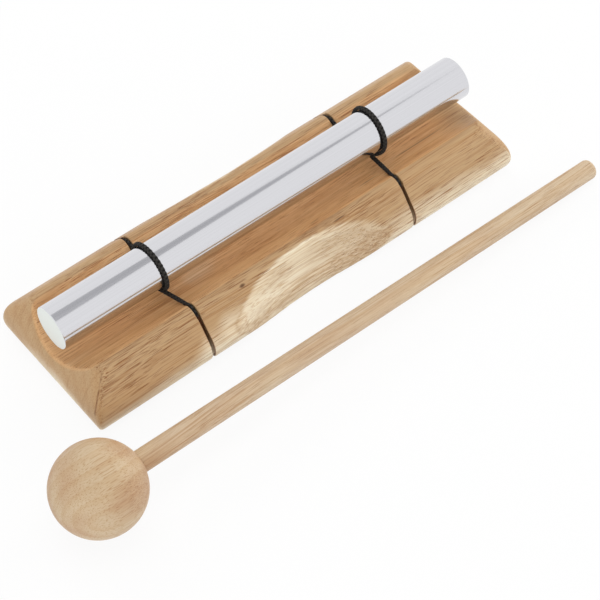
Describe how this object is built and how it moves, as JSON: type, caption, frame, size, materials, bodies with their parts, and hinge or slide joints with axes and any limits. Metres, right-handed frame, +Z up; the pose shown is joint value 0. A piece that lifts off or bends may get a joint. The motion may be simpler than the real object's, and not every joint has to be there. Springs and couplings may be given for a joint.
{
  "type": "chime bar",
  "caption": "Solid metal chime bar slung in elastic cords over a grooved hardwood base with finger scoops, with a turned wooden mallet beside it.",
  "frame": {"origin": "centre of the wooden base's flat underside, on the surface it stands on", "axes": "+X along the bar to its far end, +Y to the rear side away from the mallet, +Z up"},
  "size_m": [0.2802, 0.1175, 0.0427],
  "materials": {
    "base_wood": "thin clear oil on open-grained light hardwood",
    "bar_metal": "drawn and polished",
    "cord": "black braided elastic",
    "head_wood": "turned and sanded, plain",
    "stick_wood": "sanded dowel, plain"
  },
  "bodies": {
    "block": {"wooden_base": "base_wood"},
    "sling": {"near_cord": "cord", "far_cord": "cord"},
    "bar": {"chime_bar": "bar_metal"},
    "mallet": {"mallet_head": "head_wood", "mallet_stick": "stick_wood"}
  },
  "joints": [
    {"name": "bar_bounce", "type": "slide", "parent": "block", "child": "sling", "axis": [0, 0, 1], "range_m": [-0.0008, 0.003], "stiffness_N_per_m": 1500, "springref_m": 0.00105, "deforming": ["near_cord", "far_cord"]},
    {"name": "bar_turn", "type": "hinge", "parent": "sling", "child": "bar", "pos_m": [0, 0, 0.0309], "axis": [1, 0, 0], "continuous": true},
    {"name": "mallet_lift", "type": "slide", "parent": "block", "child": "mallet", "axis": [0, 0, 1], "range_m": [0, 0.12]}
  ]
}
